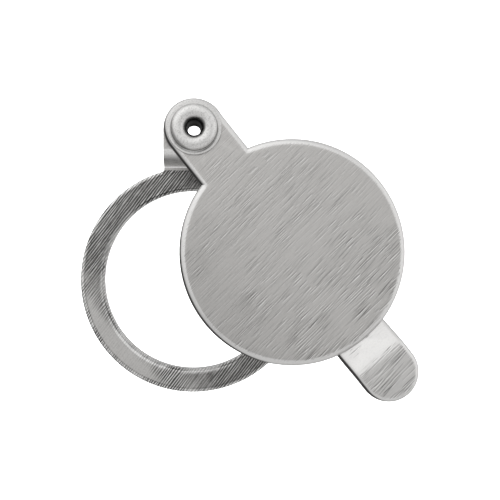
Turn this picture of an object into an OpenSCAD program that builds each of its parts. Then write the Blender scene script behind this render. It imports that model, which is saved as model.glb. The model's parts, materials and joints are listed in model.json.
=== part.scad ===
// Swing cover for a door viewer.
// A flat ring is clamped under the flange of the viewer on the room side of the door.
// Its ear is bent forward and carries a hollow rivet, on which a round cover turns.
// Each piece is drawn lying flat, with +Y towards the ear and +Z towards the room,
// and place_on_door() stands it up, with the door's face in the XZ plane.

/* [Ring] */
// Diameter of the bore that the barrel of the viewer passes through
bore_d = 14.5; // [12:0.1:18]
// Width of the ring from its bore to its rim
band_w = 1.95; // [1.5:0.05:3]
// Thickness of the sheet that the ring and its ear are stamped from
ring_t = 0.8; // [0.6:0.05:1]
// Radius of the rounded front edges of the ring
ring_roll_r = 0.45; // [0.3:0.05:0.6]
// Depth of the rounded front edges of the ring
ring_roll_d = 0.25; // [0.1:0.05:0.3]
// Radius of the fillets where the ear meets the ring
root_fillet = 0.2; // [0.1:0.05:0.4]

/* [Ear] */
// How far the ear stands in front of the ring
ear_rise = 2.1; // [1.6:0.1:3]
// Angle of the bent riser to the face of the ring
riser_angle = 75; // [60:1:85]
// Inner radius of the two bends
bend_r = 0.2; // [0.1:0.05:0.4]
// How far above its fillets the first bend of the ear starts
bend_lead = 0.06; // [0.04:0.01:0.2]
// Border of the ear that shows beside the arm of the cover
ear_border = 0.075; // [0:0.025:0.3]

/* [Cover] */
// Thickness of the cover
cover_t = 0.8; // [0.6:0.05:1.2]
// How far the rim of the cover stays inside the rim of the ring
cover_inset = 0.2; // [0:0.05:0.6]
// How far the closed cover hangs below the centre of the ring
cover_drop = 0.5; // [0:0.1:1]
// Width of the arm between the disc and the rivet
arm_w = 4.75; // [4.3:0.05:6]
// Radius of the rounded front edges of the cover
cover_roll_r = 0.9; // [0.5:0.05:1.2]
// Depth of the rounded front edges of the cover
cover_roll_d = 0.3; // [0.1:0.05:0.4]
// Angle at which the cover is swung open, from hanging straight down
open_angle = 38.66; // [0:0.01:180]

/* [Finger tab] */
// Width of the finger tab
tab_w = 4.75; // [4:0.05:6]
// How far the tab reaches past the rim of the cover
tab_reach = 5.5; // [4.6:0.1:8]
// How far the tab stands in front of the cover
tab_rise = 0.7; // [0.5:0.05:1]
// Angle of the slope between the cover and the tab
tab_angle = 27; // [18:0.5:35]
// Inner radius of the bend at the rim of the cover
tab_root_r = 0.2; // [0.1:0.05:0.4]
// Inner radius of the bend at the flat of the tab
tab_bend_r = 1.3; // [0.6:0.1:1.6]

/* [Rivet] */
// Diameter of the rivet's shank
shank_d = 2.0; // [1.6:0.1:2.2]
// Diameter of the hole through the rivet
hollow_d = 1.2; // [0.8:0.1:1.3]
// Diameter of the rolled rim at the front
rim_d = 3.7; // [3.2:0.1:4]
// Height of the rolled rim at the front
rim_h = 0.5; // [0.3:0.05:0.55]
// Diameter of the flat head at the back
head_d = 2.9; // [2.6:0.1:3.4]
// Thickness of the flat head at the back
head_t = 0.4; // [0.25:0.05:0.5]
// Diameter of the washer under the rolled rim
washer_d = 4.3; // [3.8:0.1:4.7]
// Thickness of the washer under the rolled rim
washer_t = 0.15; // [0.1:0.05:0.25]

/* [Fits] */
// Radial clearance of the cover and the washer on the shank
running_gap = 0.05; // [0.02:0.01:0.1]
// Radial clearance of the clinched shank in the ear
clinch_gap = 0.01; // [0.01:0.01:0.02]
// Play in front of and behind the cover along the rivet
side_play = 0.03; // [0.02:0.01:0.1]
// Gap between the rivet's head and the bend beside it
head_gap = 0.02; // [0.02:0.01:0.2]

/* [Hidden] */
$fn = 128;
bend_step = 7.5; // most that one flat of a bend turns by
cut = 1; // how far a cutting shape runs past the face that it cuts
graze = 0.003; // how far a rounding crosses the faces that it would only touch
ring_r = bore_d / 2 + band_w;
disc_r = ring_r - cover_inset;
ear_w = arm_w + 2 * ear_border;
// The ear: where its fillets end, where its first bend starts, and where it is flat again.
root_y = sqrt(pow(ring_r + root_fillet, 2) - pow(ear_w / 2 + root_fillet, 2));
bend_y = root_y + bend_lead;
ear_flat_y = bend_y + joggle_run(ring_t, ear_rise, riser_angle, bend_r, bend_r);
pivot_y = ear_flat_y + head_d / 2 + head_gap;
// The cover: the disc's centre below the rivet, and the tab's bends from that centre.
arm_l = pivot_y + cover_drop;
tab_flat_r = disc_r + joggle_run(cover_t, tab_rise, tab_angle, tab_root_r, tab_bend_r);
tab_end_r = disc_r + tab_reach;
// The stack along the rivet, from the door's face towards the room.
ear_front_z = ear_rise + ring_t;
cover_z = ear_front_z + side_play;
washer_z = cover_z + cover_t + side_play;
rim_z = washer_z + washer_t;
head_z = ear_rise - head_t;

// Length of the straight slope between the two bends of a joggled strip.
function joggle_slope(t, rise, angle, root_r, flat_r) =
    (rise - (t + root_r + flat_r) * (1 - cos(angle))) / sin(angle);

// Length that a joggle takes up along the strip, from its first bend to its second flat.
function joggle_run(t, rise, angle, root_r, flat_r) =
    (t + root_r + flat_r) * sin(angle) + joggle_slope(t, rise, angle, root_r, flat_r) * cos(angle);

// Width of a rounded edge of radius r that goes down by d at the rim.
function roll_width(r, d) = sqrt(r * r - (r - d) * (r - d));

// Stands a piece that is drawn flat against the door.
module place_on_door() {
    rotate([90, 0, 0]) children();
}

// Section of what a rounded edge takes off a corner at the origin, from a body at -X and -Y.
module edge_roll(r, d) {
    w = roll_width(r, d);
    difference() {
        translate([-w, -d]) square([w + cut, d + cut]);
        translate([-w, -r]) circle(r);
    }
}

// Points along an arc about centre, from one angle to another.
function arc(centre, r, from, to) =
    let (steps = ceil(abs(to - from) / bend_step))
    [for (i = [0 : steps]) let (a = from + (to - from) * i / steps) centre + r * [cos(a), sin(a)]];

// Section of a strip of thickness t that is bent up at x = 0 and is flat again, higher by rise.
// It runs from x_from, which is below 0, to x_to.
module joggle_section(t, rise, angle, root_r, flat_r, x_from, x_to) {
    root = [0, t + root_r];
    top = [joggle_run(t, rise, angle, root_r, flat_r), rise - flat_r];
    polygon(concat(
        [[x_from, t], [x_from, 0]],
        arc(root, root_r + t, -90, angle - 90),
        arc(top, flat_r, 90 + angle, 90),
        [[x_to, rise], [x_to, rise + t]],
        arc(top, flat_r + t, 90, 90 + angle),
        arc(root, root_r, angle - 90, -90)
    ));
}

// Outline of a strip of width w with a round end about the origin, running down by length.
module round_ended_strip(w, length) {
    circle(d = w);
    translate([-w / 2, -length]) square([w, length]);
}

// Outline of the two fillets between the rim of the ring and the sides of the ear.
// The cut is a little wider than the fillet, so that it crosses both sides instead of grazing them.
module root_fillets() {
    centre_x = ear_w / 2 + root_fillet;
    on_rim = ring_r / (ring_r + root_fillet);
    for (side = [-1, 1]) difference() {
        polygon([
            [side * centre_x, root_y],
            [side * (ear_w / 2 - root_fillet), root_y],
            [side * (ear_w / 2 - root_fillet), root_y - 2 * root_fillet],
            [side * centre_x * on_rim, root_y * on_rim - root_fillet],
        ]);
        translate([side * centre_x, root_y]) circle(root_fillet + graze);
    }
}

// The flat ring, with its front edges rounded inside and outside.
module ring_band() {
    rotate_extrude() difference() {
        translate([bore_d / 2, 0]) square([band_w, ring_t]);
        translate([ring_r, ring_t]) edge_roll(ring_roll_r, ring_roll_d);
        translate([bore_d / 2, ring_t]) mirror([1, 0]) edge_roll(ring_roll_r, ring_roll_d);
    }
}

// The ear, bent forward from the ring, with a round end about the rivet.
module ear() {
    strip_from = bore_d / 2 + band_w / 2 - bend_y;
    strip_to = pivot_y + ear_w / 2 - bend_y + cut;
    intersection() {
        translate([-ear_w / 2, bend_y, 0]) rotate([90, 0, 90]) linear_extrude(ear_w)
            joggle_section(ring_t, ear_rise, riser_angle, bend_r, bend_r, strip_from, strip_to);
        translate([0, pivot_y, 0]) linear_extrude(ear_front_z)
            round_ended_strip(ear_w, pivot_y);
    }
}

// What is cut off the rim of the ring, so that none of it shows behind the ear's first bend.
module rim_notch() {
    notch_w = ear_w - 2 * root_fillet;
    translate([-notch_w / 2, bend_y - bend_lead / 2, -cut]) cube([notch_w, band_w, ring_t + 2 * cut]);
}

// The stamped ring with its ear, which the viewer clamps to the door.
module mounting_ring() {
    color([0.66, 0.66, 0.64]) place_on_door() difference() {
        union() {
            difference() {
                ring_band();
                rim_notch();
            }
            ear();
            linear_extrude(ring_t) root_fillets();
        }
        translate([0, pivot_y, ear_rise - cut])
            cylinder(d = shank_d + 2 * clinch_gap, h = ring_t + 2 * cut);
    }
}

// The arm, lying down from the rivet at the origin to the disc, with rounded front edges.
module cover_arm() {
    rotate([90, 0, 0]) linear_extrude(arm_l - disc_r / 2) difference() {
        translate([-arm_w / 2, 0]) square([arm_w, cover_t]);
        for (side = [0, 1]) mirror([side, 0]) translate([arm_w / 2, cover_t])
            edge_roll(cover_roll_r, cover_roll_d);
    }
    rolled_disc(arm_w / 2);
}

// A round plate of the cover's thickness with a rounded front edge.
module rolled_disc(r) {
    rotate_extrude() difference() {
        square([r, cover_t]);
        translate([r, cover_t]) edge_roll(cover_roll_r, cover_roll_d);
    }
}

// The finger tab, about the centre of the disc: its slope follows the rim of the disc.
module finger_tab() {
    intersection() {
        rotate_extrude() translate([disc_r, 0])
            joggle_section(cover_t, tab_rise, tab_angle, tab_root_r, tab_bend_r,
                -cover_roll_r, tab_reach + cut);
        translate([0, tab_w / 2 - tab_end_r, 0]) linear_extrude(cover_t + tab_rise) {
            circle(d = tab_w);
            translate([-tab_w / 2, 0]) square([tab_w, tab_end_r - disc_r / 2]);
        }
    }
}

// The cover: the disc that hides the lens, its arm and its finger tab, in one stamping.
module swing_cover() {
    color([0.72, 0.71, 0.69]) place_on_door()
        translate([0, pivot_y, cover_z]) rotate(open_angle) difference() {
            union() {
                cover_arm();
                translate([0, -arm_l, 0]) {
                    rolled_disc(disc_r);
                    finger_tab();
                }
            }
            translate([0, 0, -cut])
                cylinder(d = shank_d + 2 * running_gap, h = cover_t + 2 * cut);
        }
}

// The hollow rivet: a flat head behind the ear, and a rim rolled over the washer in front.
module hollow_rivet() {
    // The rim's section is the top of a circle that is as wide as the rim at its foot.
    half_w = (rim_d - hollow_d) / 4;
    roll_r = (half_w * half_w + rim_h * rim_h) / (2 * rim_h);
    color([0.78, 0.77, 0.75]) place_on_door() translate([0, pivot_y, 0]) rotate_extrude() {
        translate([hollow_d / 2, head_z]) square([(head_d - hollow_d) / 2, head_t]);
        translate([hollow_d / 2, head_z]) square([(shank_d - hollow_d) / 2, rim_z - head_z]);
        intersection() {
            translate([hollow_d / 2 + half_w, rim_z + rim_h - roll_r]) circle(roll_r);
            translate([hollow_d / 2, rim_z]) square([2 * half_w, rim_h]);
        }
    }
}

// The thin washer that lets the cover turn under the rolled rim.
module rim_washer() {
    color([0.74, 0.73, 0.71]) place_on_door() translate([0, pivot_y, washer_z])
        difference() {
            cylinder(d = washer_d, h = washer_t);
            translate([0, 0, -cut])
                cylinder(d = shank_d + 2 * running_gap, h = washer_t + 2 * cut);
        }
}

mounting_ring();
swing_cover();
hollow_rivet();
rim_washer();
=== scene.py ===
"""Looks of a door viewer's swing cover: a ring with a bent ear, a cover, a rolled rivet, a washer.

The pieces are drawn flat in millimetres, with +Y towards the ear and +Z towards the room, and
are then stood up against the door and brought to metres.
"""

import json
import logging
import math
from collections.abc import Callable
from dataclasses import dataclass
from enum import Enum

import bmesh
import bpy
from mathutils import Matrix, Vector


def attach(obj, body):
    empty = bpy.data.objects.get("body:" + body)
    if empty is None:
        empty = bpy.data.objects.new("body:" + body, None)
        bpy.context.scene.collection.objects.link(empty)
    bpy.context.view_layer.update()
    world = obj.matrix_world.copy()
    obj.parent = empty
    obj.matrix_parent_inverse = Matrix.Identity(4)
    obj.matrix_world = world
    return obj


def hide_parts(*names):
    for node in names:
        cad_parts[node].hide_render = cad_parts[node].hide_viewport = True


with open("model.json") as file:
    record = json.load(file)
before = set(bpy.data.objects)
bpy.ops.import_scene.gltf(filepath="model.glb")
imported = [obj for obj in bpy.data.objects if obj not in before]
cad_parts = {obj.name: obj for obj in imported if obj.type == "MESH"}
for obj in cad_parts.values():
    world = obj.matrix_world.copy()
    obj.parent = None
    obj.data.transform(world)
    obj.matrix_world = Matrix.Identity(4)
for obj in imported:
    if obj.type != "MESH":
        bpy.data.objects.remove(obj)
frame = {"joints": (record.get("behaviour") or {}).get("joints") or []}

MM = 0.001
TINY = 1e-4  # millimetres: points closer than this are one point
DISC_SIDES = 256
PUNCH_SIDES = 64
SHARP = 50  # degrees: edges bent by more than this are broken
FLAT = 0.2  # degrees: faces bent by less than this are one face
CAP_STEPS = 40  # flats round each corner of a strip's end
log = logging.getLogger("swing_cover")

Pair = tuple[float, float]
Triple = tuple[float, float, float]
Socket = bpy.types.NodeSocket
Thing = bpy.types.Object


class Cut(Enum):
    """What a boolean does with its tool."""

    JOIN = "UNION"
    TAKE_AWAY = "DIFFERENCE"


class Bench:
    """The bench work that every piece shares, all of it done with Blender's own tools."""

    @staticmethod
    def start(name: str) -> Thing:
        """Takes up the piece that was just added.

        Args:
            name: The piece's name.

        Returns:
            The piece, alone selected and active, with its place in its mesh.
        """
        piece = bpy.context.object
        piece.name = name
        piece.data.name = name
        Bench.take(piece)
        bpy.ops.object.transform_apply(location=True, rotation=True, scale=True)
        return piece

    @staticmethod
    def take(piece: Thing) -> None:
        """Makes the piece the only selected one, and active.

        Args:
            piece: The piece.
        """
        bpy.ops.object.select_all(action="DESELECT")
        piece.select_set(True)
        bpy.context.view_layer.objects.active = piece

    @staticmethod
    def drum(name: str, radius: float, low: float, high: float, at: Pair = (0, 0),
             sides: int = PUNCH_SIDES) -> Thing:
        """Adds an upright cylinder.

        Args:
            name: The piece's name.
            radius: Its radius.
            low: Height of its lower face.
            high: Height of its upper face.
            at: Its axis in X and Y.
            sides: How many sides it has.

        Returns:
            The cylinder.
        """
        bpy.ops.mesh.primitive_cylinder_add(vertices=sides, radius=radius, depth=high - low,
                                            location=(at[0], at[1], (low + high) / 2))
        return Bench.start(name)

    @staticmethod
    def block(name: str, low: Triple, high: Triple) -> Thing:
        """Adds a box between two corners.

        Args:
            name: The piece's name.
            low: Its lowest corner.
            high: Its highest corner.

        Returns:
            The box.
        """
        middle = [(a + b) / 2 for a, b in zip(low, high)]
        bpy.ops.mesh.primitive_cube_add(size=1, location=middle)
        bpy.context.object.scale = [b - a for a, b in zip(low, high)]
        return Bench.start(name)

    @staticmethod
    def section(name: str, low: Pair, high: Pair, along_y: bool = False) -> Thing:
        """Adds an upright rectangle, the start of a section that is spun or drawn out.

        Args:
            name: The piece's name.
            low: Its lowest corner, along the ground and up.
            high: Its highest corner, along the ground and up.
            along_y: Whether it stands in the YZ plane instead of the XZ plane.

        Returns:
            The rectangle.
        """
        run, rise, quarter = (low[0] + high[0]) / 2, (low[1] + high[1]) / 2, math.radians(90)
        width, height = high[0] - low[0], high[1] - low[1]
        place, turn, size = (((0, run, rise), (0, quarter, 0), (height, width, 1)) if along_y
                             else ((run, 0, rise), (quarter, 0, 0), (width, height, 1)))
        bpy.ops.mesh.primitive_plane_add(size=1, location=place, rotation=turn)
        bpy.context.object.scale = size
        return Bench.start(name)

    @staticmethod
    def open_up(piece: Thing, kind: str = "VERT") -> None:
        """Opens the piece in edit mode with nothing selected.

        Args:
            piece: The piece.
            kind: VERT, EDGE or FACE, for what is selected next.
        """
        Bench.take(piece)
        bpy.ops.object.mode_set(mode="EDIT")
        bpy.ops.mesh.select_mode(type=kind)
        bpy.ops.mesh.select_all(action="DESELECT")

    @staticmethod
    def close() -> None:
        """Goes back to object mode."""
        bpy.ops.object.mode_set(mode="OBJECT")

    @staticmethod
    def pick(piece: Thing, kind: str, test: Callable[..., bool]) -> None:
        """Selects the points, edges or faces that a test picks, and nothing else.

        Args:
            piece: The piece, already open in edit mode.
            kind: VERT, EDGE or FACE.
            test: Says whether one of them is picked.
        """
        bpy.ops.mesh.select_mode(type=kind)
        bpy.ops.mesh.select_all(action="DESELECT")
        mesh = bmesh.from_edit_mesh(piece.data)
        group = {"VERT": mesh.verts, "EDGE": mesh.edges, "FACE": mesh.faces}[kind]
        picked = [element for element in group if test(element)]
        for element in picked:
            element.select_set(True)
        mesh.select_flush_mode()
        bmesh.update_edit_mesh(piece.data)
        if not picked:
            raise ValueError(f"nothing picked on {piece.name}")

    @staticmethod
    def move(by: Triple) -> None:
        """Moves what is selected."""
        bpy.ops.transform.translate(value=by)

    @staticmethod
    def draw_out(by: Triple) -> None:
        """Extrudes what is selected and moves the new part."""
        bpy.ops.mesh.extrude_region_move(TRANSFORM_OT_translate={"value": by})

    @staticmethod
    def bend(centre: Triple, degrees: float, steps: int, axis: Triple = (1, 0, 0)) -> None:
        """Spins what is selected round an axis, as a bend of a strip.

        Args:
            centre: A point on the axis.
            degrees: The angle, positive by the right-hand rule.
            steps: How many flats the bend has.
            axis: The axis's direction.
        """
        # The operator turns the other way round its axis.
        bpy.ops.mesh.spin(steps=steps, angle=-math.radians(degrees), center=centre, axis=axis,
                          use_auto_merge=False)

    @staticmethod
    def everything() -> None:
        """Selects all of the open piece."""
        bpy.ops.mesh.select_all(action="SELECT")

    @staticmethod
    def weld() -> None:
        """Selects everything and merges doubled points."""
        Bench.everything()
        bpy.ops.mesh.remove_doubles(threshold=TINY)

    @staticmethod
    def widen(width: float) -> None:
        """Draws a strip's section, which stands in the YZ plane, out to its width.

        Args:
            width: The strip's width.
        """
        Bench.weld()
        Bench.move((-width / 2, 0, 0))
        bpy.ops.mesh.select_mode(type="FACE")
        Bench.everything()
        Bench.draw_out((width, 0, 0))

    @staticmethod
    def round_end(piece: Thing, tip: float, width: float, left: float = 0.005) -> None:
        """Rounds the end of a strip to a half circle.

        Args:
            piece: The strip, already open in edit mode.
            tip: How far along Y its end is.
            width: Its width.
            left: How much of the straight end is left on each side of its middle.
        """
        Bench.pick(piece, "EDGE", lambda e: all(abs(v.co.y - tip) < TINY for v in e.verts)
                   and abs(e.verts[0].co.x - e.verts[1].co.x) < TINY)
        bpy.ops.mesh.bevel(offset=width / 2 - left, segments=CAP_STEPS, profile=0.5,
                           affect="EDGES", clamp_overlap=False)

    @staticmethod
    def turn_on_lathe(piece: Thing, sides: int = DISC_SIDES) -> None:
        """Spins a section, which stands in the XZ plane, once round Z into a closed body.

        Args:
            piece: The section.
            sides: How many sides the body has.
        """
        Bench.open_up(piece, "EDGE")
        mesh = bmesh.from_edit_mesh(piece.data)
        if any(len(edge.link_faces) == 2 for edge in mesh.edges):
            Bench.pick(piece, "EDGE", lambda e: len(e.link_faces) == 2)
            bpy.ops.mesh.delete(type="EDGE_FACE")
        Bench.everything()
        bpy.ops.mesh.delete(type="ONLY_FACE")
        Bench.everything()
        bpy.ops.mesh.spin(steps=sides, angle=math.tau, center=(0, 0, 0), axis=(0, 0, 1),
                          use_auto_merge=False)
        Bench.weld()
        bpy.ops.mesh.normals_make_consistent(inside=False)
        Bench.close()

    @staticmethod
    def boolean(piece: Thing, tool: Thing, cut: Cut) -> None:
        """Joins the tool to the piece or takes it away, and throws the tool away.

        Args:
            piece: The piece that stays.
            tool: The piece that is used up.
            cut: What is done.
        """
        Bench.take(piece)
        modifier = piece.modifiers.new(cut.name, "BOOLEAN")
        modifier.operation = cut.value
        modifier.solver = "EXACT"
        modifier.object = tool
        bpy.ops.object.modifier_apply(modifier=modifier.name)
        bpy.data.objects.remove(tool, do_unlink=True)

    @staticmethod
    def tidy_faces(piece: Thing) -> None:
        """Merges doubled points and the flat faces that a boolean left in pieces.

        Args:
            piece: The piece.
        """
        Bench.open_up(piece)
        Bench.weld()
        bpy.ops.mesh.dissolve_limited(angle_limit=math.radians(FLAT))
        bpy.ops.mesh.normals_make_consistent(inside=False)
        Bench.close()

    @staticmethod
    def break_edges(piece: Thing, width: float) -> None:
        """Rounds every sharp edge of the piece by a little, as tumbling does.

        Args:
            piece: The piece.
            width: Width of the rounding.
        """
        Bench.take(piece)
        modifier = piece.modifiers.new("broken_edges", "BEVEL")
        modifier.width = width
        modifier.segments = 3
        modifier.limit_method = "ANGLE"
        modifier.angle_limit = math.radians(SHARP)
        modifier.use_clamp_overlap = True
        bpy.ops.object.modifier_apply(modifier=modifier.name)

    @staticmethod
    def inspect(piece: Thing) -> None:
        """Cuts the piece's faces into triangles and stops if it isn't closed.

        Args:
            piece: The piece.
        """
        Bench.open_up(piece)
        Bench.everything()
        bpy.ops.mesh.quads_convert_to_tris(quad_method="BEAUTY", ngon_method="BEAUTY")
        torn = [e for e in bmesh.from_edit_mesh(piece.data).edges if not e.is_manifold]
        Bench.close()
        if torn:
            raise ValueError(f"{piece.name} has {len(torn)} open edges")

    @staticmethod
    def stand_up(piece: Thing, at: Triple, turned: float) -> None:
        """Stands a flat piece against the door, in metres, with its place in its mesh.

        Args:
            piece: The piece, drawn flat in millimetres.
            at: Where its own origin goes, on the flat drawing.
            turned: How far it is turned there, in degrees.
        """
        Bench.inspect(piece)
        Bench.take(piece)
        piece.matrix_world = (
            Matrix.Scale(MM, 4) @ Matrix.Rotation(math.radians(90), 4, "X")
            @ Matrix.Translation(at) @ Matrix.Rotation(math.radians(turned), 4, "Z"))
        bpy.ops.object.transform_apply(location=True, rotation=True, scale=True)

    @staticmethod
    def smooth(piece: Thing, degrees: float) -> None:
        """Shades the rounded parts smooth and leaves the flats flat.

        Args:
            piece: The piece.
            degrees: The largest angle between faces that is shaded smooth.
        """
        Bench.take(piece)
        bpy.ops.object.shade_smooth_by_angle(angle=math.radians(degrees))
        modifier = piece.modifiers.new("flat_faces_stay_flat", "WEIGHTED_NORMAL")
        modifier.keep_sharp = True
        modifier.weight = 100
        bpy.ops.object.modifier_apply(modifier=modifier.name)


class Graph:
    """A tree of shader nodes, with short calls to add them."""

    def __init__(self, tree: bpy.types.NodeTree) -> None:
        """Empties the tree and starts it with coordinates.

        Args:
            tree: The tree.
        """
        self.tree = tree
        self.tree.nodes.clear()
        self.coordinates = self.add("ShaderNodeTexCoord")

    def add(self, kind: str, inputs: dict | None = None, **settings: object) -> bpy.types.Node:
        """Adds a node.

        Args:
            kind: The node's type.
            inputs: By name or number, the outputs to link to it or the plain values to set.
            settings: Its properties.

        Returns:
            The node.
        """
        node = self.tree.nodes.new(kind)
        for name, value in settings.items():
            setattr(node, name, value)
        for name, value in (inputs or {}).items():
            if isinstance(value, Socket):
                self.tree.links.new(value, node.inputs[name])
            else:
                node.inputs[name].default_value = value
        return node

    def sum(self, operation: str, first: object, second: object = 0.0, third: object = 0.0,
            held: bool = True) -> Socket:
        """Adds a Math node.

        Args:
            operation: Its operation.
            first: Its first input.
            second: Its second input.
            third: Its third input.
            held: Whether its output is held between 0 and 1.

        Returns:
            Its output.
        """
        return self.add("ShaderNodeMath", {0: first, 1: second, 2: third}, operation=operation,
                        use_clamp=held).outputs[0]

    def turned(self, degrees: float, stretch: Triple, shift: float = 0.0) -> Socket:
        """Gives coordinates that are turned in the door's plane, then stretched.

        Args:
            degrees: The direction of the new X axis, counter-clockwise seen from the room.
            stretch: Waves per metre along the three new axes.
            shift: How many waves they are moved across.

        Returns:
            The coordinates.
        """
        turn = self.add("ShaderNodeMapping", {"Vector": self.coordinates.outputs["Object"],
                                              "Rotation": (0, math.radians(degrees), 0)})
        return self.add("ShaderNodeMapping", {"Vector": turn.outputs["Vector"], "Scale": stretch,
                                              "Location": (0, 0, shift)}).outputs["Vector"]

    def along(self, source: Socket, direction: Triple) -> Socket:
        """Measures a vector along a direction.

        Args:
            source: The vector.
            direction: The direction, of any length.

        Returns:
            How far the vector goes that way.
        """
        return self.add("ShaderNodeVectorMath", {0: source, 1: Vector(direction).normalized()},
                        operation="DOT_PRODUCT").outputs["Value"]

    def rake(self, degrees: float, pitch: float, length: float) -> Socket:
        """Adds even lines that waver a little, as a coarse belt leaves them.

        Args:
            degrees: Their direction, counter-clockwise seen from the room.
            pitch: Metres from one line to the next.
            length: Metres along a line before it wavers.

        Returns:
            Their value, 0 in the middle of a groove.
        """
        period = math.tau / 20  # of the wave node, in its own units
        spot = self.turned(degrees, (0.5 / length, 0.5 / length, period / pitch))
        return self.add("ShaderNodeTexWave", {
            "Vector": spot, "Scale": 1.0, "Distortion": 3.5, "Detail": 1.0, "Detail Scale": 2.0,
        }, bands_direction="Z").outputs["Fac"]

    def noise(self, vector: Socket, detail: float = 2.0, roughness: float = 0.5) -> Socket:
        """Adds a noise over some coordinates.

        Args:
            vector: The coordinates, one wave a unit.
            detail: How many finer layers it has.
            roughness: How strong they are.

        Returns:
            Its value.
        """
        return self.add("ShaderNodeTexNoise", {"Vector": vector, "Scale": 1.0, "Detail": detail,
                                               "Roughness": roughness}).outputs["Fac"]

    def band(self, value: object, low: float, high: float, to_low: float = 0.0,
             to_high: float = 1.0) -> Socket:
        """Maps a range of a value to another, smoothly, and holds it at the ends.

        Args:
            value: The value.
            low: Where the range starts.
            high: Where it ends.
            to_low: What its start becomes.
            to_high: What its end becomes.

        Returns:
            The new value.
        """
        return self.add("ShaderNodeMapRange", {0: value, 1: low, 2: high, 3: to_low, 4: to_high},
                        interpolation_type="SMOOTHSTEP").outputs["Result"]

    def blend(self, share: object, first: object, second: object) -> Socket:
        """Mixes two colours.

        Args:
            share: How much of the second there is.
            first: The first colour.
            second: The second colour.

        Returns:
            The mixed colour.
        """
        return self.add("ShaderNodeMix", {0: share, 6: first, 7: second},
                        data_type="RGBA").outputs[2]


@dataclass(frozen=True)
class Slope:
    """A change across a piece: none before its start and full past its end."""

    way: Triple
    start: float  # millimetres along the way, from the middle of the bore
    end: float


@dataclass(frozen=True)
class Grime:
    """A painted shade line on a circle round an axis that runs through the sheet, or painted shade
    over all inside it.
    """

    radius: float  # millimetres
    width: float  # millimetres, from full to none
    strength: float = 1.0
    height: float = 0.0  # millimetres, of the axis above the bore's
    sunk: bool = False  # whether all that lies inside the circle gets the painted shade


@dataclass(frozen=True)
class SteelFinish:
    """Stainless steel that is brushed on its flats and left satin on its rims and bends."""

    name: str
    slot: str
    flat: Triple = (0.535, 0.525, 0.512)
    # The rims' and bends' lighter colour: their satin finish, partly a painted sheen
    rim: Triple = (0.67, 0.664, 0.655)
    # Near-black for the sheet's side walls: partly the cut edge's own dull face, partly painted
    # shade
    sheared: Triple = (0.10, 0.098, 0.095)
    dark_line: Triple = (0.16, 0.156, 0.15)
    # Near-white of the painted highlights along the lines
    light_line: Triple = (0.90, 0.89, 0.88)
    # Dark colour for random tarnish patches, and for the painted shade on the ring's flange
    tarnish: Triple = (0.17, 0.167, 0.162)
    # Near-black for real specks, and for the painted shade laid by the other masks
    soot: Triple = (0.012, 0.011, 0.010)
    brushed: bool = True
    brushed_from: float = 0.945  # how squarely a face looks out where the brushing starts
    sheared_at: Pair = (0.25, 0.50)  # how squarely a side wall looks out, at most, where its painted shade is laid
    grain: float = 45.0  # direction of the brushing, seen from the room
    grain_pitch: float = 0.075  # millimetres from one scratch to the next
    grain_length: float = 1.4  # millimetres along one scratch
    pair_gap: float = 0.085  # millimetres from a scratch to its painted highlight
    hair_pitch: float = 0.08  # millimetres from one fine line to the next
    rake_pitch: float = 0.19  # millimetres from one belt line to the next
    scratches: float = 0.72  # strength of the dark scratches
    glints: float = 0.85  # strength of the painted highlights beside them
    hairlines: float = 0.14  # strength of the fine lines between them
    raked: float = 0.0  # strength of the even lines of a coarse belt, and of their painted highlights
    pits: float = 0.06  # strength of the fine dark specks
    tarnished: float = 0.03  # strength of the slow dark patches
    dull: float = 0.16  # how much darker the painted shade makes that side
    underside: float = 0.9  # how dark the painted shade is on edges that face down and to the left
    tarnished_over: Slope | None = None  # where painted shade grows over the ring's flange
    polished_over: Slope | None = None  # where the lines are rubbed out, inside the rim
    rubbed_over: Slope | None = None  # where hands have scratched it more
    dull_over: Slope | None = None  # where painted shade darkens one side of the piece
    handled_over: Slope | None = None  # where the parts nearest the room, the tab's top, are made lighter
    creased_over: Slope | None = None  # where a bend's shade grows
    # painted shade lines round axes
    grime: tuple[Grime, ...] = ()
    relief: float = 0.004  # millimetres, depth of the lines
    waviness: float = 0.010  # millimetres, height of the sheet's slow waves
    flat_roughness: float = 0.40
    rim_roughness: float = 0.32


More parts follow.
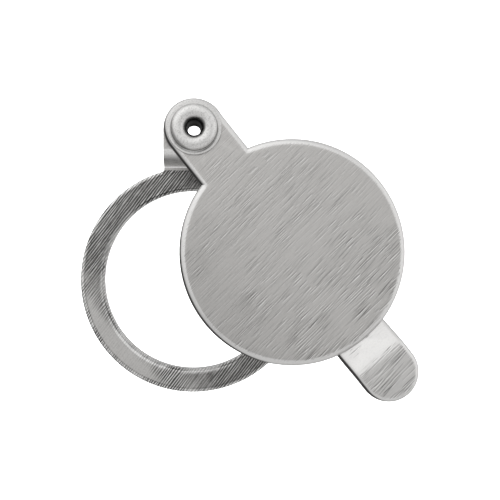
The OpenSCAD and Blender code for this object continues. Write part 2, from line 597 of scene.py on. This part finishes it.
class SteelShader:
    """The nodes of one finish, laid over the piece's own coordinates."""

    CLOUDS: Triple = (230, 230, 380)  # waves a metre along and across the grain
    MOTTLES: Triple = (1500, 1500, 4200)
    SPECKS: Triple = (9000, 9000, 9000)
    WAVES: Triple = (260, 260, 260)
    STRAY = 2.4  # millimetres by which the clouds move the painted shade's edge
    INSIDE: Pair = (8.75, 8.95)  # millimetres from the bore's axis to where the ring's rim starts
    FLANGE = Slope((0, 1, 0), -0.95, -0.85)  # the ring's flat sheet, without its ear
    ROOT = Slope((0, 0, 1), 8.83, 8.98)  # where the ear's first bend starts
    DOWN_LEFT: Triple = (-0.85, 0, -0.53)
    UNDER: Pair = (0.50, 0.72)  # how squarely an edge faces that way, where its painted shade starts and is full
    WORN: Pair = (0.978, 0.999)  # how squarely a face looks out where the rims' lighter colour, partly a painted sheen, ends

    def __init__(self, finish: SteelFinish) -> None:
        """Starts the material with the noises and masks that its layers share.

        Args:
            finish: What the steel looks like.
        """
        self.finish = finish
        self.material = bpy.data.materials.new(finish.name)
        self.material.use_nodes = True
        self.graph = graph = Graph(self.material.node_tree)
        self.spot = graph.coordinates.outputs["Object"]
        self.normal = graph.coordinates.outputs["Normal"]
        self.along, self.across = 1 / (finish.grain_length * MM), 1 / (finish.grain_pitch * MM)
        self.scored = self.scratch(0.0)
        self.hair = graph.noise(graph.turned(
            finish.grain - 1, (self.along * 0.45, self.across, 1 / (finish.hair_pitch * MM)),
            3.0), 1.0, 0.5)
        self.cloud = graph.noise(graph.turned(finish.grain, self.CLOUDS), 3.0, 0.6)
        self.speck = graph.noise(graph.turned(0, self.SPECKS), 2.0, 0.6)
        self.level = graph.sum("ABSOLUTE", graph.along(self.normal, (0, 1, 0)))
        self.worn = graph.band(graph.sum("MULTIPLY_ADD", self.cloud, 0.012, self.level),
                               *self.WORN)
        ragged = graph.sum("MULTIPLY_ADD", self.hair, 0.16, graph.sum("SUBTRACT", self.level, 0.08))
        self.lines = graph.band(ragged, finish.brushed_from, finish.brushed_from + 0.02, 0.0,
                                1.0 if finish.brushed else 0.12)

    def scratch(self, shift: float) -> Socket:
        """Gives the field of scratches, moved across by a number of pitches."""
        stretch = (self.along, self.across * 0.4, self.across)
        return self.graph.noise(self.graph.turned(self.finish.grain, stretch, shift), 0.0)

    def slope(self, slope: Slope, low: float = 0.0, high: float = 1.0) -> Socket:
        """Gives a change across the piece, between two values."""
        return self.graph.band(self.graph.along(self.spot, slope.way), slope.start * MM,
                               slope.end * MM, low, high)

    def both(self, first: object, second: object) -> Socket:
        """Gives what two masks share."""
        return self.graph.sum("MULTIPLY", first, second)

    def lay(self, share: object, colour: Triple) -> None:
        """Lays a colour over the colour so far."""
        self.base = self.graph.blend(share, self.base, (*colour, 1))

    def reach(self, height: float = 0.0) -> Socket:
        """Measures how far a point is from an axis that runs through the sheet.

        Args:
            height: Millimetres of the axis above the bore's.

        Returns:
            The distance in metres.
        """
        place = self.graph.add("ShaderNodeMapping", {
            "Vector": self.spot, "Location": (0, 0, -height * MM), "Scale": (1, 0, 1)})
        return self.graph.add("ShaderNodeVectorMath", {0: place.outputs["Vector"]},
                              operation="LENGTH").outputs["Value"]

    def tarnish(self) -> tuple[Socket, Socket]:
        """Lays mottled painted shade over the ring's flange, and rubs its lines out at the polished
        part.

        Returns:
            How much painted shade the flange gets, and how much of its lines is left.
        """
        graph, over = self.graph, self.finish.tarnished_over
        flange = self.both(self.slope(self.FLANGE), self.slope(self.ROOT, 1.0, 0.0))
        way = graph.sum("MULTIPLY_ADD", self.cloud, self.STRAY * MM,
                        graph.along(self.spot, over.way), held=False)
        grown = graph.band(way, (over.start + self.STRAY / 2) * MM,
                           (over.end + self.STRAY / 2) * MM)
        grown = self.both(self.both(grown, flange), graph.band(self.level, 0.9, 0.99, 0.15, 1.0))
        mottle = graph.band(graph.noise(graph.turned(self.finish.grain, self.MOTTLES), 3.0, 0.7),
                            0.36, 0.64, 0.55, 1.0)
        inside = graph.band(self.reach(), self.INSIDE[0] * MM, self.INSIDE[1] * MM, 1.0, 0.0)
        polish = self.both(inside, self.slope(self.finish.polished_over, 0.0, 0.9))
        return self.both(grown, mottle), self.both(graph.sum("SUBTRACT", 1.0, polish), flange)

    def brush(self, density: Socket) -> None:
        """Lays the lines of the brushing.

        Args:
            density: How dense the lines are.
        """
        graph, finish = self.graph, self.finish
        beside = self.scratch(finish.pair_gap / finish.grain_pitch)
        crossed = graph.noise(graph.turned(
            finish.grain + 4, (self.along * 0.6, self.across, self.across * 1.1), 7.0), 0.0)
        # The lines beside the scratches and the belt's light lines are painted highlights; the dark
        # lines are the grain
        layers = [(self.hair, 0.42, 0.60, finish.hairlines, finish.dark_line),
                  (beside, 0.64, 0.67, finish.glints, finish.light_line),
                  (self.scored, 0.64, 0.67, finish.scratches, finish.dark_line),
                  (crossed, 0.65, 0.68, finish.scratches, finish.dark_line)]
        if finish.raked:
            rake = graph.rake(finish.grain + 5, finish.rake_pitch * MM, finish.grain_length * MM)
            layers += [(rake, 0.70, 1.00, finish.raked * 0.55, finish.light_line),
                       (graph.sum("SUBTRACT", 1.0, rake), 0.25, 0.60, finish.raked,
                        finish.dark_line)]
        for value, low, high, strength, colour in layers:
            self.lay(self.both(graph.band(value, low, high, 0.0, strength), density), colour)

    def dirty(self, grime: Grime) -> None:
        """Lays a painted shade line round an axis.

        Args:
            grime: The line.
        """
        graph = self.graph
        off = graph.sum("SUBTRACT", self.reach(grime.height), grime.radius * MM, held=False)
        if not grime.sunk:
            off = graph.sum("ABSOLUTE", off)
        share = graph.band(off, 0.0, grime.width * MM, grime.strength, 0.0)
        if not grime.sunk:  # broken up by the clouds
            share = self.both(share, graph.band(self.cloud, 0.3, 0.6, 0.3, 1.0))
        self.lay(share, self.finish.soot)

    def colour(self) -> Socket:
        """Lays the colours from the bare metal up.

        Returns:
            The base colour.
        """
        graph, finish = self.graph, self.finish
        density = self.both(graph.band(self.cloud, 0.36, 0.64, 0.3, 1.0), self.lines)
        if finish.rubbed_over:
            density = self.both(density, self.slope(finish.rubbed_over, 0.5, 1.0))
        # Tilted rims and bends get the rim colour: their satin finish, partly a painted sheen
        self.base = graph.blend(self.worn, (*finish.rim, 1), (*finish.flat, 1))
        # The parts nearest the room, the tab's top, get some of the lighter rim colour
        if finish.handled_over:
            self.lay(self.slope(finish.handled_over, 0.0, 0.55), finish.rim)
        stain = self.both(graph.band(self.cloud, 0.42, 0.72), finish.tarnished)
        stain = self.both(stain, self.worn)
        # The ring's flange gets mottled painted shade over all but its lower left
        if finish.tarnished_over:
            grown, left = self.tarnish()
            density = self.both(density, left)
            stain = graph.sum("MAXIMUM", stain, grown)
        self.lay(stain, finish.tarnish)
        self.brush(density)
        self.lay(graph.band(self.speck, 0.50, 0.62, 0.0, finish.pits), finish.soot)
        # Painted shade that darkens one side, the cover's lower left, away from the light
        if finish.dull_over:
            dull = self.slope(finish.dull_over, 0.0, finish.dull)
            self.lay(self.both(self.worn, dull), finish.soot)
        # Side walls seen edge-on get painted shade over their dull cut face
        self.lay(graph.band(self.level, *finish.sheared_at, 0.85, 0.0), finish.sheared)
        # Painted shade on edges that face down and to the left, away from the light
        under = graph.along(self.normal, self.DOWN_LEFT)
        self.lay(graph.band(under, *self.UNDER, 0.0, finish.underside), finish.soot)
        if finish.creased_over:
            bent = graph.band(self.level, 0.70, 0.97, 1.0, 0.0)
            self.lay(self.both(self.slope(finish.creased_over, 0.0, 0.40), bent), finish.soot)
        for grime in finish.grime:
            self.dirty(grime)
        return self.base

    def surface(self) -> Socket:
        """Presses the lines and specks into the sheet, over its slow waves.

        Returns:
            The normal.
        """
        graph = self.graph
        height = self.both(graph.sum("MULTIPLY_ADD", self.hair, 0.5, self.scored), self.lines)
        height = graph.sum("MULTIPLY_ADD", self.speck, 0.10, height)
        swell = graph.add("ShaderNodeBump", {
            "Distance": self.finish.waviness * MM,
            "Height": graph.noise(graph.turned(20, self.WAVES), 1.0)})
        return graph.add("ShaderNodeBump", {
            "Distance": self.finish.relief * MM, "Height": height,
            "Normal": swell.outputs["Normal"]}).outputs["Normal"]

    def make(self) -> bpy.types.Material:
        """Joins the layers to the shader.

        Returns:
            The material.
        """
        graph, finish = self.graph, self.finish
        rough = graph.band(self.worn, 0.0, 1.0, finish.rim_roughness, finish.flat_roughness)
        rough = graph.sum("ADD", rough, graph.band(self.hair, 0.3, 0.7, 0.0, 0.12))
        shader = graph.add("ShaderNodeBsdfPrincipled", {
            "Metallic": 1.0, "Base Color": self.colour(), "Roughness": rough,
            "Normal": self.surface()})
        graph.add("ShaderNodeOutputMaterial", {"Surface": shader.outputs["BSDF"]})
        return self.material


@dataclass
class SteelPiece:
    """A piece of the object: its finish and what it stands for."""

    name: str
    node: str
    body: str
    finish: SteelFinish
    pivot: float  # height of the rivet's axis above the bore's

    def finish_off(self, piece: Thing, at: Triple = (0, 0, 0), turned: float = 0.0,
                   smooth: float = 40) -> None:
        """Puts the piece up, gives it its finish, and puts it in place of its node.

        Args:
            piece: The finished mesh, drawn flat.
            at: Where its own origin goes, on the flat drawing.
            turned: How far it is turned there, in degrees.
            smooth: The largest angle between faces that is shaded smooth, in degrees.
        """
        Bench.stand_up(piece, at, turned)
        Bench.smooth(piece, smooth)
        piece.data.materials.clear()
        piece.data.materials.append(SteelShader(self.finish).make())
        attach(piece, self.body)
        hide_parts(self.node)
        log.info("%s: %d faces", piece.name, len(piece.data.polygons))


@dataclass
class ClampedRing(SteelPiece):
    """The stamped ring and its ear, which is bent forward in two bends."""

    bore: float = 7.25
    rim: float = 9.195
    sheet: float = 0.8
    bore_roll: float = 0.6
    bore_roll_depth: float = 0.38
    rim_roll: float = 0.36
    rim_roll_depth: float = 0.24
    ear_width: float = 4.89
    ear_rise: float = 2.1
    riser: float = 75.0
    bend: float = 0.2
    fillet: float = 0.2
    lead: float = 0.06
    hole: float = 1.01
    cap_left: float = 0.01
    gusset_depth: float = 0.45
    gusset_step: float = 0.02  # by which a gusset stays below the sheet's front
    broken: float = 0.045

    def root(self) -> float:
        """Gives the height at which the fillets beside the ear end."""
        return math.sqrt((self.rim + self.fillet) ** 2 - (self.ear_width / 2 + self.fillet) ** 2)

    def band(self) -> Thing:
        """Turns the flat ring, with its front edges rolled over by the punch.

        Returns:
            The ring.
        """
        ring = Bench.section("clamped_ring", (self.bore, 0), (self.rim, self.sheet))
        Bench.open_up(ring)
        for edge, roll, depth in ((self.bore, self.bore_roll, self.bore_roll_depth),
                                  (self.rim, self.rim_roll, self.rim_roll_depth)):
            Bench.pick(ring, "VERT", lambda v: v.co.z > self.sheet - TINY
                       and abs(v.co.x - edge) < TINY)
            bpy.ops.mesh.bevel(offset=roll, segments=7, profile=0.5, affect="VERTICES")
            bpy.ops.transform.resize(value=(1, 1, depth / roll),
                                     center_override=(0, 0, self.sheet))
        Bench.close()
        Bench.turn_on_lathe(ring)
        return ring

    def ear(self) -> Thing:
        """Draws the ear's strip from the ring, bends it twice and rounds its end.

        Returns:
            The ear.
        """
        thick, low = self.bend + self.sheet, self.root() + self.lead
        angle = math.radians(self.riser)
        slope = (self.ear_rise - (thick + self.bend) * (1 - math.cos(angle))) / math.sin(angle)
        run = (thick + self.bend) * math.sin(angle) + slope * math.cos(angle)
        start = (self.bore + self.rim) / 2
        ear = Bench.section("ear", (start, 0), (low, self.sheet), along_y=True)
        Bench.open_up(ear)
        Bench.pick(ear, "EDGE", lambda e: all(v.co.y > low - TINY for v in e.verts))
        Bench.bend((0, low, thick), self.riser, 10)
        Bench.draw_out((0, slope * math.cos(angle), slope * math.sin(angle)))
        Bench.bend((0, low + run, self.ear_rise - self.bend), -self.riser, 10)
        tip = self.pivot + self.ear_width / 2
        Bench.draw_out((0, tip - low - run, 0))
        Bench.widen(self.ear_width)
        Bench.round_end(ear, tip, self.ear_width, self.cap_left)
        Bench.everything()
        bpy.ops.mesh.normals_make_consistent(inside=False)
        Bench.close()
        return ear

    def gusset(self, side: int) -> Thing:
        """Fills the corner between the rim and one side of the ear.

        Args:
            side: -1 for the left, 1 for the right.

        Returns:
            The filler, with its hollow round cut.
        """
        inner, outer = self.ear_width / 2 - self.fillet, self.ear_width / 2 + self.fillet
        reach = outer * self.rim / (self.rim + self.fillet)
        edges = sorted((side * inner, side * reach))
        top = self.root()
        filler = Bench.block(f"gusset_{side}", (edges[0], top - self.gusset_depth, 0.0),
                             (edges[1], top, self.sheet - self.gusset_step))
        Bench.boolean(filler, Bench.drum("gusset_punch", self.fillet + 0.003, -1, 2,
                                         (side * outer, top)), Cut.TAKE_AWAY)
        return filler

    def build(self) -> None:
        """Joins the ring and its ear and finishes the stamping."""
        ring = self.band()
        low = self.root() + self.lead
        notch = self.ear_width - 2 * self.fillet
        Bench.boolean(ring, Bench.block("notch", (-notch / 2, low - self.lead / 2, -1),
                                        (notch / 2, low + 1, 2)), Cut.TAKE_AWAY)
        Bench.boolean(ring, self.ear(), Cut.JOIN)
        for side in (-1, 1):
            Bench.boolean(ring, self.gusset(side), Cut.JOIN)
        Bench.boolean(ring, Bench.drum("rivet_punch", self.hole, 1, 4, (0, self.pivot)),
                      Cut.TAKE_AWAY)
        Bench.tidy_faces(ring)
        Bench.break_edges(ring, self.broken)
        self.finish_off(ring, smooth=32)


@dataclass
class SwingCover(SteelPiece):
    """The round cover with its arm and its raised finger tab."""

    radius: float = 9.0
    sheet: float = 0.8
    past_disc: float = 0.5  # by which the disc's middle is further from the rivet than the bore's
    arm_width: float = 4.75
    roll: float = 0.6
    roll_depth: float = 0.46
    hole: float = 1.05
    tab_width: float = 4.75
    tab_end: float = 14.4925
    tab_rise: float = 0.7
    tab_angle: float = 27.0
    tab_bend: float = 1.3
    tab_roll: float = 0.45
    tab_slope: float = 3.2  # of the part that runs down under the disc
    valley: float = 0.2
    trimmed: float = 0.02  # height below which the tab is cut off
    lift: float = 2.93
    opened: float = 38.66
    broken: float = 0.035

    @property
    def arm(self) -> float:
        """Gives how far the disc's middle is from the rivet."""
        return self.pivot + self.past_disc

    def blank(self) -> Thing:
        """Stamps the disc and its arm from one sheet and rolls their front edge.

        Returns:
            The blank, with the rivet's axis at the origin.
        """
        blank = Bench.drum("swing_cover_skin", self.radius, 0, self.sheet, (0, -self.arm),
                           DISC_SIDES)
        half = self.arm_width / 2
        arm = Bench.block("arm", (-half, -self.arm + 2, 0), (half, half, self.sheet))
        Bench.open_up(arm)
        Bench.round_end(arm, half, self.arm_width)
        Bench.close()
        Bench.boolean(arm, Bench.drum("rivet_punch", self.hole, -1, 2), Cut.TAKE_AWAY)
        Bench.boolean(blank, arm, Cut.JOIN)
        Bench.tidy_faces(blank)
        Bench.open_up(blank)
        top = self.sheet
        Bench.pick(blank, "EDGE", lambda e: all(
            v.co.z > top - TINY and v.co.xy.length > self.hole + 0.1 for v in e.verts)
            and any(abs(f.normal.z) < 0.5 for f in e.link_faces))
        bpy.ops.mesh.bevel(offset=self.roll, segments=9, profile=0.5, affect="EDGES",
                           clamp_overlap=False)
        bpy.ops.transform.resize(value=(1, 1, self.roll_depth / self.roll),
                                 center_override=(0, 0, top))
        Bench.close()
        return blank

    def tab(self) -> Thing:
        """Bends the finger tab up from under the disc's rim and rounds its end.

        Returns:
            The tab, with the rivet's axis at the origin.
        """
        angle = math.radians(self.tab_angle)
        outer = self.tab_bend + self.sheet
        centre = -self.arm
        climb = self.tab_rise + self.valley
        corner = self.radius + climb / math.tan(angle)
        flat = corner + outer * math.tan(angle / 2)
        top = self.sheet + self.tab_rise
        tab = Bench.section("tab", (centre - self.tab_end, self.tab_rise),
                            (centre - flat, top), along_y=True)
        Bench.open_up(tab)
        Bench.pick(tab, "EDGE", lambda e: all(v.co.y > centre - flat - TINY for v in e.verts))
        Bench.bend((0, centre - flat, self.tab_rise - self.tab_bend), -self.tab_angle, 8)
        Bench.draw_out((0, self.tab_slope * math.cos(angle), -self.tab_slope * math.sin(angle)))
        Bench.widen(self.tab_width)
        Bench.round_end(tab, centre - self.tab_end, self.tab_width)
        Bench.everything()
        bpy.ops.mesh.normals_make_consistent(inside=False)
        Bench.pick(tab, "EDGE", lambda e: any(f.normal.z > 0.5 for f in e.link_faces)
                   and any(abs(f.normal.z) < 0.1 for f in e.link_faces))
        bpy.ops.mesh.bevel(offset=self.tab_roll, segments=7, profile=0.5, affect="EDGES",
                           clamp_overlap=False)
        Bench.everything()
        bpy.ops.mesh.bisect(plane_co=(0, 0, self.trimmed), plane_no=(0, 0, 1), use_fill=True,
                            clear_inner=True)
        Bench.close()
        return tab

    def build(self) -> None:
        """Joins the tab to the blank and hangs the cover on its rivet, swung open."""
        cover = self.blank()
        Bench.boolean(cover, self.tab(), Cut.JOIN)
        Bench.tidy_faces(cover)
        Bench.break_edges(cover, self.broken)
        self.finish_off(cover, (0, self.pivot, self.lift), self.opened, 32)


@dataclass
class RolledRivet(SteelPiece):
    """The hollow rivet: a flat head behind the ear and a rim rolled over in front."""

    throat: float = 0.70
    back_hole: float = 0.6
    back_wide: float = 0.82  # the tail's hole is pressed slightly oval
    back_high: float = 0.62
    shank: float = 1.0
    head: float = 1.45
    head_thick: float = 0.4
    head_low: float = 1.7
    rim: float = 1.85
    rim_low: float = 3.91
    rim_high: float = 4.41
    wall: float = 0.26
    neck: float = 0.3  # length over which the shank narrows to its rolled rim
    rolled: float = 172.0
    head_edge: float = 0.12

    def build(self) -> None:
        """Draws the tube's wall, its head and its rolled rim, and turns them."""
        middle = (self.throat + self.rim) / 2
        roll = (self.rim - self.throat) / 2
        start = self.rim_high - roll
        head_top = self.head_low + self.head_thick
        rivet = Bench.section("rolled_rivet", (self.back_hole, self.head_low),
                              (self.shank, head_top))
        Bench.open_up(rivet)
        Bench.pick(rivet, "EDGE", lambda e: all(v.co.x > self.shank - TINY for v in e.verts))
        Bench.draw_out((self.head - self.shank, 0, 0))
        Bench.pick(rivet, "EDGE", lambda e: all(
            v.co.x < self.shank + TINY and v.co.z > head_top - TINY for v in e.verts))
        Bench.draw_out((0, 0, self.rim_low - self.neck - head_top))
        Bench.draw_out((0, 0, start - self.rim_low + self.neck))
        Bench.pick(rivet, "VERT", lambda v: v.co.z > start - TINY and v.co.x < self.shank - TINY)
        Bench.move((self.throat - self.back_hole, 0, 0))
        Bench.pick(rivet, "VERT", lambda v: v.co.z > start - TINY and v.co.x > self.shank - TINY)
        Bench.move((self.throat + self.wall - self.shank, 0, 0))
        Bench.pick(rivet, "EDGE", lambda e: all(v.co.z > start - TINY for v in e.verts))
        Bench.bend((middle, 0, start), self.rolled, 22, (0, 1, 0))
        Bench.weld()
        Bench.pick(rivet, "VERT", lambda v: v.co.x > self.head - TINY and v.co.z < head_top + TINY)
        bpy.ops.mesh.bevel(offset=self.head_edge, segments=4, affect="VERTICES")
        Bench.close()
        Bench.turn_on_lathe(rivet, 128)
        Bench.open_up(rivet)
        Bench.pick(rivet, "VERT", lambda v: v.co.xy.length < self.back_hole + TINY
                   and v.co.z < self.head_low + TINY)
        bpy.ops.transform.resize(value=(self.back_wide, self.back_high, 1))
        Bench.close()
        self.finish_off(rivet, (0, self.pivot, 0))


@dataclass
class RimWasher(SteelPiece):
    """The thin washer under the rolled rim."""

    radius: float = 2.15
    hole: float = 1.05
    thick: float = 0.15
    lift: float = 3.76
    edge: float = 0.05

    def build(self) -> None:
        """Turns the washer, with its outer edges rounded."""
        washer = Bench.section("thin_washer", (self.hole, 0), (self.radius, self.thick))
        Bench.open_up(washer)
        Bench.pick(washer, "VERT", lambda v: v.co.x > self.radius - TINY)
        bpy.ops.mesh.bevel(offset=self.edge, segments=4, affect="VERTICES")
        Bench.close()
        Bench.turn_on_lathe(washer, 160)
        self.finish_off(washer, (0, self.pivot, self.lift))


@dataclass(frozen=True)
class Card:
    """A soft part of the tent that is lighter or darker than the rest."""

    towards: Triple
    edge: float  # cosine of the angle at which it starts
    core: float  # cosine of the angle at which it is full
    strength: float


@dataclass
class Studio:
    """A white tent: a pale floor that sweeps up all round, soft lights and the camera."""

    floor: float = -0.0165
    radius: float = 0.35
    cove: float = 0.1
    wall: float = 0.5
    steps: int = 16  # flats in the cove
    glow: float = 0.40
    tent: float = 0.70
    cards: tuple[Card, ...] = (
        Card((-0.54, -0.60, 0.59), 0.35, 0.88, 0.74),  # upper left
        Card((0.95, -0.25, 0.10), 0.40, 0.90, 0.45),  # right
        Card((0.20, -0.20, 0.95), 0.50, 0.95, 0.22),  # above
        Card((0.10, -0.45, -0.90), 0.60, 0.95, 0.32),  # below
        Card((-0.42, 0.75, -0.50), 0.70, 0.92, -0.22),  # dark, low and behind
    )
    eye: Triple = (0.0000858, -0.0766288, 0.002351)
    aim: Pair = (0.0591, 0.0009)
    lens: float = 66.758

    def sweep(self) -> None:
        """Makes the floor, which curves up into a round wall."""
        bpy.ops.mesh.primitive_circle_add(vertices=96, radius=self.radius, fill_type="NGON",
                                          location=(0, 0, self.floor))
        floor = Bench.start("floor")
        Bench.open_up(floor)
        Bench.pick(floor, "EDGE", lambda e: len(e.link_faces) == 1)
        wide, high = self.radius, 0.0
        for step in range(1, self.steps + 1):
            angle = math.radians(90) * step / self.steps
            outer = self.radius + self.cove * math.sin(angle)
            upper = self.cove * (1 - math.cos(angle))
            Bench.draw_out((0, 0, upper - high))
            bpy.ops.transform.resize(value=(outer / wide, outer / wide, 1),
                                     center_override=(0, 0, 0))
            wide, high = outer, upper
        Bench.draw_out((0, 0, self.wall))
        Bench.close()
        bpy.ops.object.shade_smooth()
        paper = bpy.data.materials.new("pale_paper")
        paper.use_nodes = True
        shader = paper.node_tree.nodes["Principled BSDF"]
        for name, value in (("Base Color", (0.9, 0.9, 0.9, 1)), ("Roughness", 0.9),
                            ("Specular IOR Level", 0.0), ("Emission Color", (1, 1, 1, 1)),
                            ("Emission Strength", self.glow)):
            shader.inputs[name].default_value = value
        floor.data.materials.append(paper)
        floor.visible_glossy = False  # the steel reflects the tent, not the lit paper
        floor.visible_shadow = False

    def light(self, name: str, at: Triple, size: Pair, radiance: float) -> None:
        """Hangs a soft box that faces the object.

        Args:
            name: The light's name.
            at: Its place.
            size: Its width and height.
            radiance: How bright its face is.
        """
        lamp = bpy.data.lights.new(name, "AREA")
        lamp.shape = "RECTANGLE"
        lamp.size, lamp.size_y = size
        lamp.energy = radiance * math.pi * size[0] * size[1]
        box = bpy.data.objects.new(name, lamp)
        bpy.context.collection.objects.link(box)
        box.location = at
        box.rotation_euler = (-Vector(at)).to_track_quat("-Z", "Y").to_euler()

    def hang_tent(self) -> None:
        """Hangs the tent all round, with its lighter and darker cards."""
        world = bpy.data.worlds.new("tent")
        world.use_nodes = True
        graph = Graph(world.node_tree)
        level = None
        for card in self.cards:
            way = graph.along(graph.coordinates.outputs["Generated"], card.towards)
            share = graph.band(way, card.edge, card.core)
            level = graph.sum("MULTIPLY_ADD", share, card.strength,
                              self.tent if level is None else level, held=False)
        sky = graph.add("ShaderNodeBackground", {"Strength": level})
        graph.add("ShaderNodeOutputWorld", {"Surface": sky.outputs["Background"]})
        bpy.context.scene.world = world

    def build(self) -> None:
        """Sets up the floor, the tent, the lights and the camera."""
        self.sweep()
        self.hang_tent()
        self.light("key_left_above", (-0.22, -0.16, 0.26), (0.30, 0.30), 0.25)
        self.light("side_right", (0.32, -0.12, 0.06), (0.25, 0.35), 0.25)
        camera = bpy.data.objects.new("camera", bpy.data.cameras.new("camera"))
        bpy.context.collection.objects.link(camera)
        camera.data.lens = self.lens
        camera.data.sensor_width = 36
        camera.data.clip_start = 0.005
        camera.location = self.eye
        look = Vector((self.aim[0], 1, self.aim[1]))
        camera.rotation_euler = look.to_track_quat("-Z", "Y").to_euler()
        bpy.context.scene.camera = camera
        bpy.context.scene.view_settings.view_transform = "Standard"


def main() -> None:
    """Builds the pieces in order and sets the studio."""
    logging.basicConfig(level=logging.INFO, format="%(name)s: %(message)s")
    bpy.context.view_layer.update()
    pivot = frame["joints"][0]["pos_m"][2] / MM
    pieces = [
        ClampedRing("clamped_ring", "mounting_ring", "ring", SteelFinish(
            "ring_brushed", "ring_steel", flat=(0.52, 0.512, 0.50), rim=(0.80, 0.795, 0.785),
            dark_line=(0.09, 0.088, 0.085), tarnish=(0.085, 0.083, 0.08), brushed_from=0.5,
            sheared_at=(0.05, 0.20), grain=48, grain_pitch=0.12, grain_length=2.6,
            hair_pitch=0.15, scratches=0.6, glints=0.5, hairlines=0.35, raked=1.0, pits=0.12,
            underside=0.5, tarnished_over=Slope((0.7, 0, 0.714), -7.6, -4.8),
            polished_over=Slope((-0.75, 0, -0.65), 6.9, 7.9),
            creased_over=Slope((0, 0, 1), 9.50, 9.75),
            # Painted shade lines at the bore's roll and where the rim's roll starts
            grime=(Grime(7.46, 0.07, 0.85), Grime(8.86, 0.05, 0.5))), pivot),
        SwingCover("swing_cover_skin", "swing_cover", "cover", SteelFinish(
            "cover_brushed", "cover_steel", dark_line=(0.12, 0.118, 0.115), grain=44,
            grain_pitch=0.062, grain_length=1.7, scratches=0.85, glints=1.0,
            rubbed_over=Slope((0.62, 0, -0.78), -2.0, 14.0),
            dull_over=Slope((-0.8, 0, -0.6), -8.0, 2.5),
            handled_over=Slope((0, -1, 0), 4.0, 4.3)), pivot),
        RolledRivet("rolled_rivet", "hollow_rivet", "ring", SteelFinish(
            "rivet_satin", "rivet_steel", flat=(0.72, 0.715, 0.705), rim=(0.69, 0.685, 0.675),
            brushed=False, pits=0.22, underside=0.4, rim_roughness=0.38,
            # Painted shade over the inside of the rivet's deep bore, darkened too by its oxide
            grime=(Grime(0.66, 0.05, 1.0, pivot, True),)), pivot),
        RimWasher("thin_washer", "rim_washer", "ring", SteelFinish(
            "washer_satin", "washer_steel", flat=(0.68, 0.675, 0.665), brushed=False, pits=0.15,
            # Painted shadow under the rivet's rolled rim, on the washer's lower side
            grime=(Grime(1.83, 0.12, 0.95, pivot - 0.11),)), pivot),
    ]
    for piece in pieces:
        piece.build()
    Studio().build()


if __name__ == "__main__":
    main()
